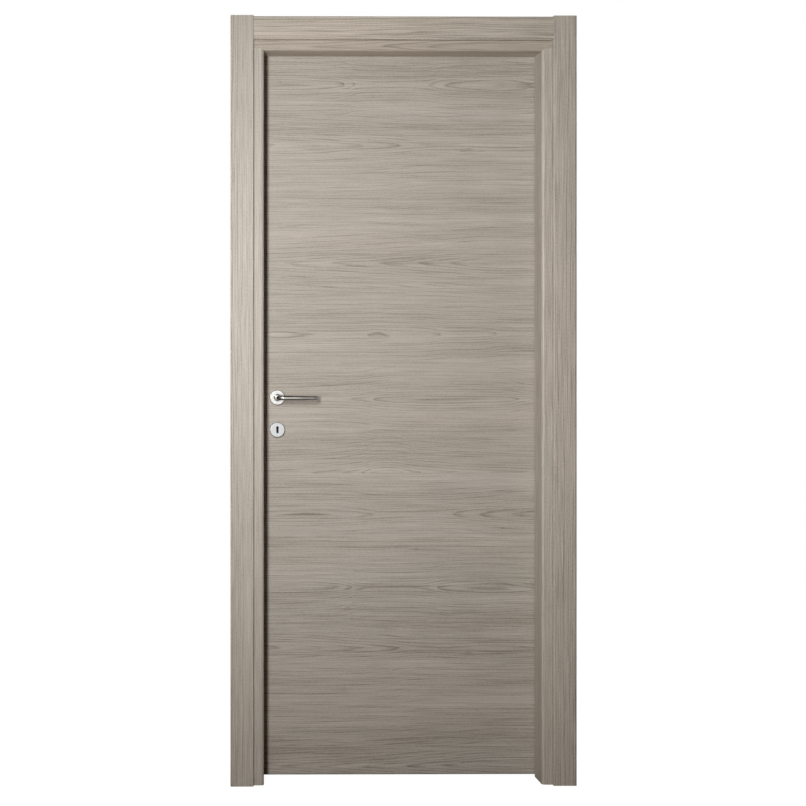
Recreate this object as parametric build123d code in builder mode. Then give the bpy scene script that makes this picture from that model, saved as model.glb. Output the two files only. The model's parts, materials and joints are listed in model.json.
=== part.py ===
from build123d import *

import os

os.makedirs("parts", exist_ok=True)

# A flush interior door in its frame, in millimetres. The push side faces -y.
# x runs along the wall to the hinge side, y from the push to the pull side, z up.
# The origin is at floor level on the wall face of the hinge jamb, at half its depth.

# Driving dimensions: the clear opening and the wall
clear_width = 796
clear_height = 2100
wall_depth = 100

# Jambs: u is measured outward from the clear opening, v inward from the push face
jamb_thickness = 45
arris_radius = 8
rebate_width = 14
kerf_width = 2.4
kerf_depth = 5
kerf_centre = 3.5

# Casings: a flat board with a tongue that slides in a groove of the jamb
push_casing_width = 66
pull_casing_width = 50
casing_thickness = 10
casing_edge_radius = 2.5
push_setback = 30.5
pull_setback = 37
casing_overrun = 3
tongue_thickness = 3.5
tongue_length = 14
tongue_inset = 2
tongue_clearance = 0.2

# Leaf: two skins on stiles and rails. The thicker pull skin forms the lip on three sides
leaf_thickness = 40
push_skin_thickness = 5
lip_thickness = 10
lip_width = 13
stile_width = 40
floor_gap = 6

# Running gaps between the leaf and the frame
leaf_gap = 7
lip_gap = 5
seal_gap = 5
seal_clearance = 0.5
seal_width = 5.5
seal_base = 1.2

# Barrel hinges
barrel_radius = 7
barrel_half = 32
barrel_joint = 0.4
barrel_rounding = 2
barrel_lip_gap = 1
pin_radius = 4
pin_height = 24
pin_clearance = 0.06
stud_radius = 3.25
stud_depth = 24
stud_clearance = 0.25
hinge_bottom = 230
hinge_top_inset = 200

# Lock
backset = 52
handle_height = 1106
key_drop = 94
lock_inset = 15
faceplate_width = 18
faceplate_length = 210
faceplate_thickness = 3
lock_case_thickness = 13
lock_case_depth = 78
lock_case_height = 165
bolt_thickness = 10
latch_height = 24
dead_bolt_height = 28
latch_reach = 1.5
dead_bolt_reach = 0.5
bolt_clearance = 0.3
strike_thickness = 2
strike_window_margin = 3
strike_pocket_depth = 16

# Handles and rosettes
rosette_radius = 22
rosette_thickness = 8
rosette_rounding = 2
neck_radius = 10
neck_clearance = 0.5
neck_length = 16
neck_rounding = 2.5
lever_radius = 6.6
lever_tip_radius = 5.2
lever_reach = 40
lever_bend = 16
lever_length = 98.5
return_radius = 14
return_angle = 70
spindle_side = 8
spindle_grip = 18
spindle_clearance = 0.1
follower_clearance = 0.6
keyhole_radius = 4
keyhole_slot = 6.4
keyhole_rise = 6.6
keyhole_fall = 7.1
key_passage_margin = 3.3

# Fixing screws through the jambs into the wall
fixing_radius = 3
fixing_sink_radius = 6
fixing_from_stop = 8
fixing_outer_spread = 925
fixing_inner_spread = 350

# Places that follow from the sizes above
half_clear = clear_width / 2
x_middle = -jamb_thickness - half_clear
y_push = -wall_depth / 2
y_pull = wall_depth / 2
y_lip = y_pull + lip_gap
y_leaf_pull = y_lip + lip_thickness
y_leaf_push = y_leaf_pull - leaf_thickness
stop_depth = y_leaf_push - seal_gap - y_push
leaf_edge = rebate_width - leaf_gap
lip_edge = leaf_edge + lip_width
leaf_top = clear_height + leaf_edge
lip_top = clear_height + lip_edge
hinge_u = lip_edge + barrel_lip_gap + barrel_radius
y_hinge = y_leaf_pull
hinge_top = clear_height - hinge_top_inset
hinge_heights = {
    "low": hinge_bottom,
    "middle": (hinge_bottom + hinge_top) / 2,
    "top": hinge_top,
}
key_height = handle_height - key_drop
lock_centre = (handle_height + key_height) / 2
y_lock = y_leaf_push + lock_inset
fixing_v = stop_depth + fixing_from_stop

# Sides of the opening and faces of the wall
HINGE, LOCK = 1, -1
PULL, PUSH = 1, -1


def at(side, u):
    """The x that lies u outward from the clear opening on one side."""
    return x_middle + side * (half_clear + u)


def out(face, d):
    """The y that lies d out from one face of the wall."""
    return face * (wall_depth / 2 + d)


def off_leaf(face, d):
    """The y that lies d out from one face of the leaf."""
    return (y_leaf_pull if face == PULL else y_leaf_push) + face * d


def block_centre(xs, ys, zs):
    """The centre of a block given by its limits."""
    return (sum(xs) / 2, sum(ys) / 2, sum(zs) / 2)


def block_size(xs, ys, zs):
    """The three sizes of a block given by its limits."""
    return (abs(xs[1] - xs[0]), abs(ys[1] - ys[0]), abs(zs[1] - zs[0]))


def block(xs, ys, zs):
    """A plain block between two limits on each axis."""
    with BuildPart() as solid:
        with Locations(block_centre(xs, ys, zs)):
            Box(*block_size(xs, ys, zs))
    return solid.part


def rod(start, direction, radius, length):
    """A round rod from a point along a direction."""
    with BuildPart() as solid:
        with BuildSketch(Plane(origin=start, z_dir=direction)):
            Circle(radius)
        extrude(amount=length)
    return solid.part


def save(part, label):
    """Names a finished piece and writes it."""
    part.label = label
    export_step(part, f"parts/{label}.step")


# Jambs: a front piece with the rounded arris, and a narrower piece behind it that forms the rebate

groove_depth = tongue_length + 2
tongue_middle = tongue_inset + tongue_thickness / 2
groove_half = tongue_thickness / 2 + tongue_clearance
y_stop = y_push + stop_depth


def jamb_section(place):
    """The front piece's section: rounded arris, tongue groove and the seal's kerf."""
    r = arris_radius
    mid = r * (1 - 0.5**0.5)
    slots = [
        (push_setback + tongue_middle, groove_half, 0, groove_depth),
        (kerf_centre, kerf_width / 2, stop_depth - kerf_depth, stop_depth),
    ]
    with BuildSketch() as section:
        with BuildLine():
            Polyline(
                place(r, 0),
                place(jamb_thickness, 0),
                place(jamb_thickness, stop_depth),
                place(0, stop_depth),
                place(0, r),
            )
            ThreePointArc(place(0, r), place(mid, mid), place(r, 0))
        make_face()
        for centre, half, v0, v1 in slots:
            with BuildLine():
                Polyline(
                    place(centre - half, v0),
                    place(centre + half, v0),
                    place(centre + half, v1),
                    place(centre - half, v1),
                    close=True,
                )
            make_face(mode=Mode.SUBTRACT)
    return section.sketch


head_section = jamb_section(lambda u, v: (y_push + v, clear_height + u))

with BuildPart() as head_jamb:
    with BuildSketch(Plane.YZ.offset(at(LOCK, jamb_thickness))):
        add(head_section)
    extrude(amount=clear_width + 2 * jamb_thickness)
save(head_jamb.part, "head_jamb")


def side_jamb(side):
    """A side jamb's front piece, coped at the top to the head jamb's rounded arris."""
    section = jamb_section(lambda u, v: (at(side, u), y_push + v))
    x_mid = at(side, jamb_thickness / 2)
    with BuildPart() as jamb:
        with BuildSketch():
            add(section)
        extrude(amount=clear_height)
        with BuildSketch(Plane.XY.offset(clear_height)):
            add(section)
            with Locations((x_mid, y_push + arris_radius / 2)):
                Rectangle(jamb_thickness, arris_radius, mode=Mode.INTERSECT)
        extrude(amount=arris_radius)
        add(head_jamb.part, mode=Mode.SUBTRACT)
    return jamb.part


save(side_jamb(HINGE), "hinge_jamb")
save(side_jamb(LOCK), "lock_jamb")


def fixing_planes(side):
    """Where the fixing screws enter the rebate wall, in an outer and an inner pair."""
    middle = clear_height / 2
    spreads = (fixing_outer_spread, fixing_inner_spread)
    heights = [middle + sign * spread for spread in spreads for sign in (-1, 1)]
    return [
        Plane(
            origin=(at(side, rebate_width), y_push + fixing_v, height),
            z_dir=(-side, 0, 0),
        )
        for height in heights
    ]


def groove_limits(setback):
    """How far outward the groove for a casing's tongue lies."""
    middle = setback + tongue_middle
    return (middle - groove_half, middle + groove_half)


def side_rebate(side):
    """The piece behind a side jamb, with its tongue groove and countersunk fixing holes."""
    zs = (0, clear_height + rebate_width)
    bar = block((at(side, rebate_width), at(side, jamb_thickness)), (y_stop, y_pull), zs)
    us = groove_limits(pull_setback)
    groove = block((at(side, us[0]), at(side, us[1])), (y_pull - groove_depth, y_pull), zs)
    with BuildPart() as rebate:
        add(bar)
        add(groove, mode=Mode.SUBTRACT)
        with Locations(*fixing_planes(side)):
            CounterSinkHole(fixing_radius, fixing_sink_radius, depth=jamb_thickness)
    return rebate.part


head_xs = (at(LOCK, jamb_thickness), at(HINGE, jamb_thickness))
head_bar_zs = (clear_height + rebate_width, clear_height + jamb_thickness)
head_groove_zs = [clear_height + u for u in groove_limits(pull_setback)]
head_bar = block(head_xs, (y_stop, y_pull), head_bar_zs)
head_groove = block(head_xs, (y_pull - groove_depth, y_pull), head_groove_zs)

with BuildPart() as head_jamb_rebate:
    add(head_bar)
    add(head_groove, mode=Mode.SUBTRACT)
save(head_jamb_rebate.part, "head_jamb_rebate")

hinge_bar = side_rebate(HINGE)
frame_stud_holes = [
    rod(
        (at(HINGE, hinge_u), y_pull + 1, height - barrel_half / 2),
        (0, -1, 0),
        stud_radius + stud_clearance,
        stud_depth + 2,
    )
    for height in hinge_heights.values()
]

with BuildPart() as hinge_jamb_rebate:
    add(hinge_bar)
    add(frame_stud_holes, mode=Mode.SUBTRACT)
save(hinge_jamb_rebate.part, "hinge_jamb_rebate")

# The strike plate lies flush in the lock side's rebate wall, over a pocket for each bolt
bolt_places = {"latch": (handle_height, latch_height), "dead": (key_height, dead_bolt_height)}
strike_us = (rebate_width, rebate_width + strike_thickness)
pocket_us = (rebate_width + strike_thickness, rebate_width + strike_pocket_depth)
plate_ys = (y_lock - faceplate_width / 2, y_lock + faceplate_width / 2)
plate_zs = (lock_centre - faceplate_length / 2, lock_centre + faceplate_length / 2)


def bolt_block(us, place, margin):
    """A block round one bolt's line, between two depths on the lock side."""
    height, tall = place
    half = bolt_thickness / 2 + margin
    tall_half = tall / 2 + margin
    return block(
        (at(LOCK, us[0]), at(LOCK, us[1])),
        (y_lock - half, y_lock + half),
        (height - tall_half, height + tall_half),
    )


lock_bar = side_rebate(LOCK)
strike_blank = block((at(LOCK, strike_us[0]), at(LOCK, strike_us[1])), plate_ys, plate_zs)
strike_windows = [bolt_block(strike_us, p, strike_window_margin) for p in bolt_places.values()]
strike_pockets = [bolt_block(pocket_us, p, strike_window_margin) for p in bolt_places.values()]

with BuildPart() as lock_jamb_rebate:
    add(lock_bar)
    add(strike_blank, mode=Mode.SUBTRACT)
    add(strike_pockets, mode=Mode.SUBTRACT)
save(lock_jamb_rebate.part, "lock_jamb_rebate")

with BuildPart() as strike_plate:
    add(strike_blank)
    add(strike_windows, mode=Mode.SUBTRACT)
save(strike_plate.part, "strike_plate")

# Seals


def seal_section(place):
    """A bulb seal: a barb in the kerf, a flat base on the stop and a round bulb."""
    half = seal_width / 2
    barb = kerf_width / 2 - seal_clearance / 2
    base_top = stop_depth + seal_base
    barb_end = stop_depth - kerf_depth + seal_clearance
    with BuildSketch() as section:
        with BuildLine():
            Polyline(
                place(kerf_centre - half, base_top),
                place(kerf_centre - half, stop_depth),
                place(kerf_centre - barb, stop_depth),
                place(kerf_centre - barb, barb_end),
                place(kerf_centre + barb, barb_end),
                place(kerf_centre + barb, stop_depth),
                place(kerf_centre + half, stop_depth),
                place(kerf_centre + half, base_top),
            )
            ThreePointArc(
                place(kerf_centre + half, base_top),
                place(kerf_centre, stop_depth + seal_gap - seal_clearance),
                place(kerf_centre - half, base_top),
            )
        make_face()
    return section.sketch


for side, label in ((HINGE, "hinge_seal"), (LOCK, "lock_seal")):
    plan = seal_section(lambda u, v: (at(side, u), y_push + v))
    with BuildPart() as side_seal:
        with BuildSketch():
            add(plan)
        extrude(amount=clear_height)
    save(side_seal.part, label)

head_seal_section = seal_section(lambda u, v: (y_push + v, clear_height + u))

with BuildPart() as head_seal:
    with BuildSketch(Plane.YZ.offset(at(LOCK, leaf_edge))):
        add(head_seal_section)
    extrude(amount=clear_width + 2 * leaf_edge)
save(head_seal.part, "head_seal")

# Casings


def front_group(face):
    """Which end of a list sorted along y is out from the wall on this face."""
    return 0 if face == PUSH else -1


def side_casing(side, face, setback, width):
    """An upright casing board with its tongue, which stops short of the head jamb."""
    board_us = (setback, setback + width)
    tongue_us = (setback + tongue_inset, setback + tongue_inset + tongue_thickness)
    board_top = clear_height + setback + width + casing_overrun
    board = block(
        (at(side, board_us[0]), at(side, board_us[1])),
        (out(face, 0), out(face, casing_thickness)),
        (0, board_top),
    )
    tongue = block(
        (at(side, tongue_us[0]), at(side, tongue_us[1])),
        (out(face, 0), out(face, -tongue_length)),
        (0, clear_height - 1),
    )
    with BuildPart() as casing:
        add(board)
        fillet(
            casing.edges().filter_by(Axis.Z).group_by(Axis.Y)[front_group(face)],
            casing_edge_radius,
        )
        add(tongue)
    return casing.part


def head_casing(face, setback, width):
    """The head casing board, butted between the two uprights, with its tongue."""
    board_zs = (clear_height + setback, clear_height + setback + width)
    tongue_zs = (board_zs[0] + tongue_inset, board_zs[0] + tongue_inset + tongue_thickness)
    board = block(
        (at(LOCK, setback), at(HINGE, setback)),
        (out(face, 0), out(face, casing_thickness)),
        board_zs,
    )
    tongue = block(
        (at(LOCK, 0), at(HINGE, 0)),
        (out(face, 0), out(face, -tongue_length)),
        tongue_zs,
    )
    with BuildPart() as casing:
        add(board)
        fillet(
            casing.edges().filter_by(Axis.X).group_by(Axis.Y)[front_group(face)],
            casing_edge_radius,
        )
        add(tongue)
    return casing.part


casing_faces = (
    (PUSH, "push", push_setback, push_casing_width),
    (PULL, "pull", pull_setback, pull_casing_width),
)

for face, face_name, setback, width in casing_faces:
    save(side_casing(HINGE, face, setback, width), f"{face_name}_hinge_casing")
    save(side_casing(LOCK, face, setback, width), f"{face_name}_lock_casing")
    save(head_casing(face, setback, width), f"{face_name}_head_casing")

# Leaf

x_handle = at(LOCK, leaf_edge - backset)
y_skin_push = y_leaf_push + push_skin_thickness
leaf_limits = (at(LOCK, leaf_edge), at(HINGE, leaf_edge))
lip_limits = (at(LOCK, lip_edge), at(HINGE, lip_edge))
core_ys = (y_skin_push, y_lip)
y_stud = (y_lip + y_leaf_pull) / 2
leaf_stud_holes = [
    rod(
        (at(HINGE, lip_edge + 1), y_stud, height + barrel_half / 2),
        (-1, 0, 0),
        stud_radius + stud_clearance,
        stud_depth + 2,
    )
    for height in hinge_heights.values()
]


def keyhole_cutter(margin, ys):
    """A keyhole, round above and a rounded slot below, run between two depths."""
    with BuildPart() as cutter:
        with BuildSketch(Plane((x_handle, ys[0], key_height), x_dir=(1, 0, 0), z_dir=(0, -1, 0))):
            with Locations((0, keyhole_rise)):
                Circle(keyhole_radius + margin)
            with Locations((0, (keyhole_rise - keyhole_fall) / 2)):
                Rectangle(keyhole_slot + 2 * margin, keyhole_rise + keyhole_fall)
            with Locations((0, -keyhole_fall)):
                Circle(keyhole_slot / 2 + margin)
        extrude(amount=-(ys[1] - ys[0]))
    return cutter.part


def pierced_skin(limits, ys, top):
    """One skin of the leaf, bored for the spindle and the key."""
    sheet = block(limits, ys, (floor_gap, top))
    spindle_bore = rod((x_handle, ys[0], handle_height), (0, 1, 0), spindle_side, ys[1] - ys[0])
    key_passage = keyhole_cutter(key_passage_margin, ys)
    with BuildPart() as skin:
        add(sheet)
        add(spindle_bore, mode=Mode.SUBTRACT)
        add(key_passage, mode=Mode.SUBTRACT)
    return skin.part


push_sheet = pierced_skin(leaf_limits, (y_leaf_push, y_skin_push), leaf_top)
save(push_sheet, "leaf_push_skin")

pull_sheet = pierced_skin(lip_limits, (y_lip, y_leaf_pull), lip_top)

with BuildPart() as leaf_pull_skin:
    add(pull_sheet)
    add(leaf_stud_holes, mode=Mode.SUBTRACT)
save(leaf_pull_skin.part, "leaf_pull_skin")


def stile(side):
    """A plain stile between the skins, along one edge of the leaf."""
    xs = (at(side, leaf_edge - stile_width), at(side, leaf_edge))
    return block(xs, core_ys, (floor_gap, leaf_top))


save(stile(HINGE), "leaf_hinge_stile")

# The lock: a rounded faceplate let into the stile's edge, its case and two bolts
case_us = (leaf_edge - faceplate_thickness, leaf_edge - faceplate_thickness - lock_case_depth)
case_zs = (lock_centre - lock_case_height / 2, lock_centre + lock_case_height / 2)


def lock_case_block(margin, u_end):
    """The lock case's outline with a margin all round, run in to one depth."""
    half = lock_case_thickness / 2 + margin
    return block(
        (at(LOCK, case_us[0]), at(LOCK, u_end)),
        (y_lock - half, y_lock + half),
        (case_zs[0] - margin, case_zs[1] + margin),
    )


def faceplate_blank(margin):
    """The faceplate's rounded outline, from the stile's edge to its full depth."""
    seat = Plane(
        origin=(at(LOCK, leaf_edge), y_lock, lock_centre),
        x_dir=(0, 0, 1),
        z_dir=(1, 0, 0),
    )
    with BuildPart() as plate:
        with BuildSketch(seat):
            SlotOverall(faceplate_length + 2 * margin, faceplate_width + 2 * margin)
        extrude(amount=faceplate_thickness)
    return plate.part


lock_stile_blank = stile(LOCK)
mortise = lock_case_block(bolt_clearance, leaf_edge - stile_width - 1)
faceplate_seat = faceplate_blank(tongue_clearance)

with BuildPart() as leaf_lock_stile:
    add(lock_stile_blank)
    add(mortise, mode=Mode.SUBTRACT)
    add(faceplate_seat, mode=Mode.SUBTRACT)
save(leaf_lock_stile.part, "leaf_lock_stile")

faceplate_us = (leaf_edge - faceplate_thickness, leaf_edge)
faceplate_outline = faceplate_blank(0)
faceplate_windows = [bolt_block(faceplate_us, p, bolt_clearance) for p in bolt_places.values()]

with BuildPart() as lock_faceplate:
    add(faceplate_outline)
    add(faceplate_windows, mode=Mode.SUBTRACT)
save(lock_faceplate.part, "lock_faceplate")

case_ys = (y_lock - lock_case_thickness / 2, y_lock + lock_case_thickness / 2)
case_outline = lock_case_block(0, case_us[1])
follower_radius = spindle_side * 0.5**0.5 + follower_clearance
follower_bore = rod((x_handle, case_ys[0], handle_height), (0, 1, 0), follower_radius, lock_case_thickness)
case_keyhole = keyhole_cutter(0, case_ys)

with BuildPart() as lock_case:
    add(case_outline)
    add(follower_bore, mode=Mode.SUBTRACT)
    add(case_keyhole, mode=Mode.SUBTRACT)
save(lock_case.part, "lock_case")

latch_blank = bolt_block((faceplate_us[0], leaf_edge + latch_reach), bolt_places["latch"], 0)

with BuildPart() as latch_bolt:
    add(latch_blank)
    fillet(latch_bolt.faces().sort_by(Axis.X)[0].edges(), latch_reach * 0.6)
save(latch_bolt.part, "latch_bolt")

dead_blank = bolt_block((faceplate_us[0], leaf_edge + dead_bolt_reach), bolt_places["dead"], 0)

with BuildPart() as dead_bolt:
    add(dead_blank)
    chamfer(dead_bolt.faces().sort_by(Axis.X)[0].edges(), dead_bolt_reach * 0.6)
save(dead_bolt.part, "dead_bolt")

# Rails
rail_limits = (at(LOCK, leaf_edge - stile_width), at(HINGE, leaf_edge - stile_width))
save(block(rail_limits, core_ys, (leaf_top - stile_width, leaf_top)), "leaf_top_rail")
save(block(rail_limits, core_ys, (floor_gap, floor_gap + stile_width)), "leaf_bottom_rail")

# Barrel hinges: the frame half carries the pin, the leaf half turns on it


def hinge_frame_half(height):
    """The lower barrel with its pin and the stud that enters the hinge jamb."""
    x = at(HINGE, hinge_u)
    top = height - barrel_joint
    barrel = rod((x, y_hinge, height - barrel_half), (0, 0, 1), barrel_radius, barrel_half - barrel_joint)
    pin = rod((x, y_hinge, top - 1), (0, 0, 1), pin_radius, pin_height + 1)
    stud_reach = y_hinge - y_pull + stud_depth
    stud = rod((x, y_hinge, height - barrel_half / 2), (0, -1, 0), stud_radius, stud_reach)
    with BuildPart() as half:
        add(barrel)
        fillet(half.edges().filter_by(GeomType.CIRCLE).sort_by(Axis.Z)[0], barrel_rounding)
        add(pin)
        add(stud)
    return half.part


def hinge_leaf_half(height):
    """The upper barrel with its bore and the stud that enters the leaf's lip."""
    x = at(HINGE, hinge_u)
    bottom = height + barrel_joint
    barrel = rod((x, y_hinge, bottom), (0, 0, 1), barrel_radius, barrel_half - barrel_joint)
    stud_reach = hinge_u - lip_edge + stud_depth
    stud = rod((x, y_stud, height + barrel_half / 2), (-1, 0, 0), stud_radius, stud_reach)
    bore = rod((x, y_hinge, bottom - 1), (0, 0, 1), pin_radius + pin_clearance, pin_height + 2)
    with BuildPart() as half:
        add(barrel)
        fillet(half.edges().filter_by(GeomType.CIRCLE).sort_by(Axis.Z)[-1], barrel_rounding)
        add(stud)
        add(bore, mode=Mode.SUBTRACT)
    return half.part


for name, height in hinge_heights.items():
    save(hinge_frame_half(height), f"{name}_hinge_frame_half")
    save(hinge_leaf_half(height), f"{name}_hinge_leaf_half")

# Rosettes and levers


def rosette(face, height):
    """A plain round rosette with a rounded front edge."""
    start = (x_handle, off_leaf(face, 0), height)
    disc = rod(start, (0, face, 0), rosette_radius, rosette_thickness)
    with BuildPart() as plate:
        add(disc)
        fillet(
            plate.edges().filter_by(GeomType.CIRCLE).sort_by(Axis.Y)[front_group(face)],
            rosette_rounding,
        )
    return plate.part


def handle_rosette(face):
    """A rosette with the round hole in which the lever's neck turns."""
    plain = rosette(face, handle_height)
    start = (x_handle, off_leaf(face, -1), handle_height)
    hole = rod(start, (0, face, 0), neck_radius + neck_clearance, rosette_thickness + 2)
    with BuildPart() as plate:
        add(plain)
        add(hole, mode=Mode.SUBTRACT)
    return plate.part


def key_rosette(face):
    """A rosette with the keyhole through it."""
    plain = rosette(face, key_height)
    depths = sorted((off_leaf(face, -1), off_leaf(face, rosette_thickness + 1)))
    hole = keyhole_cutter(0, depths)
    with BuildPart() as plate:
        add(plain)
        add(hole, mode=Mode.SUBTRACT)
    return plate.part


def lever_neck(face):
    """The round collar that turns in the rosette, with a rounded front edge."""
    start = (x_handle, off_leaf(face, 1), handle_height)
    collar = rod(start, (0, face, 0), neck_radius, neck_length - 1)
    with BuildPart() as neck:
        add(collar)
        fillet(
            neck.edges().filter_by(GeomType.CIRCLE).sort_by(Axis.Y)[front_group(face)],
            neck_rounding,
        )
    return neck.part


def lever(face):
    """A bent round bar: out along the neck, round the elbow, along, and back at the tip."""
    neck = lever_neck(face)
    stem_start = neck_length / 2
    elbow_start = off_leaf(face, lever_reach - lever_bend)
    bar_y = off_leaf(face, lever_reach)
    bar_start = x_handle + lever_bend
    bar_end = x_handle + lever_length
    elbow_axis = Axis((bar_start, elbow_start, handle_height), (0, 0, 1))
    return_axis = Axis((bar_end, bar_y - face * return_radius, handle_height), (0, 0, 1))
    socket_half = spindle_side + 2 * spindle_clearance
    socket_start = (x_handle, off_leaf(face, 0), handle_height)
    with BuildPart() as bar:
        add(neck)
        with BuildSketch(Plane((x_handle, off_leaf(face, stem_start), handle_height), z_dir=(0, face, 0))):
            Circle(lever_radius)
        extrude(amount=lever_reach - lever_bend - stem_start)
        with BuildSketch(Plane((x_handle, elbow_start, handle_height), z_dir=(0, face, 0))):
            Circle(lever_radius)
        revolve(axis=elbow_axis, revolution_arc=-face * 90)
        with BuildSketch(Plane((bar_start, bar_y, handle_height), z_dir=(1, 0, 0))):
            Circle(lever_radius)
        with BuildSketch(Plane((bar_end, bar_y, handle_height), z_dir=(1, 0, 0))):
            Circle(lever_tip_radius)
        loft()
        with BuildSketch(Plane((bar_end, bar_y, handle_height), z_dir=(1, 0, 0))):
            Circle(lever_tip_radius)
        revolve(axis=return_axis, revolution_arc=-face * return_angle)
        tip_face = bar.faces().sort_by(Axis.X)[-1]
        with Locations(tip_face.center()):
            Sphere(lever_tip_radius)
        with BuildSketch(Plane(socket_start, x_dir=(1, 0, 0), z_dir=(0, face, 0))):
            Rectangle(socket_half, socket_half)
        extrude(amount=spindle_grip + 1, mode=Mode.SUBTRACT)
    return bar.part


for face, face_name in ((PUSH, "push"), (PULL, "pull")):
    save(handle_rosette(face), f"{face_name}_handle_rosette")
    save(key_rosette(face), f"{face_name}_key_rosette")
    save(lever(face), f"{face_name}_lever")

spindle_half = spindle_side / 2
spindle = block(
    (x_handle - spindle_half, x_handle + spindle_half),
    (off_leaf(PUSH, spindle_grip), off_leaf(PULL, spindle_grip)),
    (handle_height - spindle_half, handle_height + spindle_half),
)
save(spindle, "handle_spindle")
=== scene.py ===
"""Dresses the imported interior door: wood-grain laminate, metal fittings, seals, screws and the stage."""

import json
import math
from functools import partial

import bmesh
import bpy
from bpy.props import FloatProperty, FloatVectorProperty, PointerProperty
from mathutils import Matrix, Vector

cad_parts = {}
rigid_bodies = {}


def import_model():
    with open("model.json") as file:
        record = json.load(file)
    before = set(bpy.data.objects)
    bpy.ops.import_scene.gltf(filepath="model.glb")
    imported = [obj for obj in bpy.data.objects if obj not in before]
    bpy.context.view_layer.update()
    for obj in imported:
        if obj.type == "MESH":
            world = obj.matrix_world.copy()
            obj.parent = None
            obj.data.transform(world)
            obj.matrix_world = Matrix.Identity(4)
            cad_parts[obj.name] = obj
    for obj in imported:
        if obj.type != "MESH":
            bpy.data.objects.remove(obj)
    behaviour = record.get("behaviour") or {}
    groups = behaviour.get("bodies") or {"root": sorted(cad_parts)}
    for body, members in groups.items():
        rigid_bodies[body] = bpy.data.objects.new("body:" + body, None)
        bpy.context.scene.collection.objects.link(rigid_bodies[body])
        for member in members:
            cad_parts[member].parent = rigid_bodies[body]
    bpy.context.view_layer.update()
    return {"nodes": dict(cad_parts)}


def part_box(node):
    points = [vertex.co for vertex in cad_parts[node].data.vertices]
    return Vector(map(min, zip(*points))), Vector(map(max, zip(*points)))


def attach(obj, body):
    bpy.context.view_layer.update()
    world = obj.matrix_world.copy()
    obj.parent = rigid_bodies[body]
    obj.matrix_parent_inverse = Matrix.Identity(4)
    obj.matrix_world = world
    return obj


bl_info = {
    "name": "Interior Door Dressing",
    "version": (1, 0, 0),
    "blender": (4, 5, 0),
    "location": "3D View > Sidebar > Door",
    "description": "Gives the packed interior door its laminate, metals, seals, screws and stage",
    "category": "Object",
}

for leftover in list(bpy.data.objects):
    bpy.data.objects.remove(leftover)

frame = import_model()
NODES = frame["nodes"]

# Lines of the door that the laminate's patterns are set out from
LEAF_LEFT, LEAF_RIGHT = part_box("leaf_push_skin")[0].x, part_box("leaf_push_skin")[1].x
LEAF_FOOT, LEAF_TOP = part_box("leaf_push_skin")[0].z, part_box("leaf_push_skin")[1].z
DOOR_MIDDLE = (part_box("lock_jamb")[0].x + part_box("hinge_jamb")[1].x) / 2
HEAD_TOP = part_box("head_jamb")[1].z
CASING_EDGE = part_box("push_hinge_casing")[1].x - DOOR_MIDDLE

# The leaf's figure starts near its top edge and repeats down the leaf, as a printed decor does
FIGURE_START = 2.0724
FIGURE_REPEAT = 1.465

# Each band of the leaf's figure: its two limits and its heart line, down from the start, and a curve of
# how the growth rings rise and fall along the grain, as (share of the leaf's width, height) points
LEAF_BANDS = (
    (0.000, 0.166, 0.0816, ((0, 0.30), (0.26, 0.36), (0.32, 0.46), (0.37, 0.58), (0.5, 0.60), (0.6, 0.57),
                            (0.66, 0.46), (0.78, 0.38), (1, 0.46))),
    (0.166, 0.318, 0.2565, ((0, 0.10), (0.157, 0.20), (0.309, 0.311), (0.463, 0.422), (0.578, 0.533),
                            (0.66, 0.56), (0.8, 0.52), (1, 0.56))),
    (0.318, 0.490, 0.2900, ((0, 0.30), (0.42, 0.33), (0.53, 0.52), (0.62, 0.60), (0.8, 0.60), (1, 0.58))),
    (0.490, 0.700, 0.6005, ((0, 0.85), (0.27, 0.66), (0.49, 0.50), (0.69, 0.33), (0.85, 0.20), (1, 0.22))),
    (0.700, 0.905, 0.8075, ((0, 0.47), (0.06, 0.40), (0.16, 0.45), (0.37, 0.47), (0.42, 0.44), (0.47, 0.47),
                            (0.6, 0.50), (0.68, 0.59), (0.76, 0.60), (0.83, 0.64), (0.88, 0.72), (1, 0.74))),
    (0.905, 1.110, 0.9970, ((0, 0.72), (0.2, 0.66), (0.36, 0.58), (0.44, 0.46), (0.55, 0.40), (0.8, 0.40),
                            (0.9, 0.44), (0.94, 0.52), (1, 0.60))),
    (1.110, 1.213, 1.2100, ((0, 0.75), (0.2, 0.66), (0.35, 0.50), (0.455, 0.30), (0.56, 0.45),
                            (0.72, 0.60), (1, 0.72))),
    (1.213, 1.385, 1.3320, ((0, 0.47), (0.2, 0.45), (0.33, 0.49), (0.41, 0.57), (0.55, 0.62), (0.66, 0.60),
                            (0.76, 0.50), (1, 0.30))),
    (1.385, 1.465, 1.3400, ((0, 0.50), (1, 0.55))),
)
BAND_RINGS = 9.0  # growth rings that a band's curve passes from height 0 to height 1

# Half the contrast of the leaf's grain, from its foot to its top, as (share of the height, half contrast)
LEAF_CONTRAST = ((0, 0.66), (0.25, 0.605), (0.6, 0.495), (1, 0.56))

# Small knots in the leaf's figure: place along the grain, place down from the start, length and height
LEAF_KNOTS = (
    (-0.141, 0.079, 0.060, 0.014),
    (-0.236, 0.270, 0.034, 0.011),
    (-0.391, 1.433, 0.020, 0.006),
    (-0.138, 1.373, 0.018, 0.006),
    (-0.590, 0.140, 0.020, 0.005),
    (-0.779, 0.638, 0.016, 0.006),
    (-0.484, 0.808, 0.024, 0.006),
)
KNOT_SWELL = 0.75
KNOT_HEART_SHARPNESS = 9.0
KNOT_TONE = -0.27

# The grain sways slowly and ripples quickly as it runs: scales along and across, and the ripple's width
SWAY_ACROSS = 6.0
RIPPLE_SCALES = (7.0, 26.0)
RIPPLE_WIDTH = 0.0022

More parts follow.
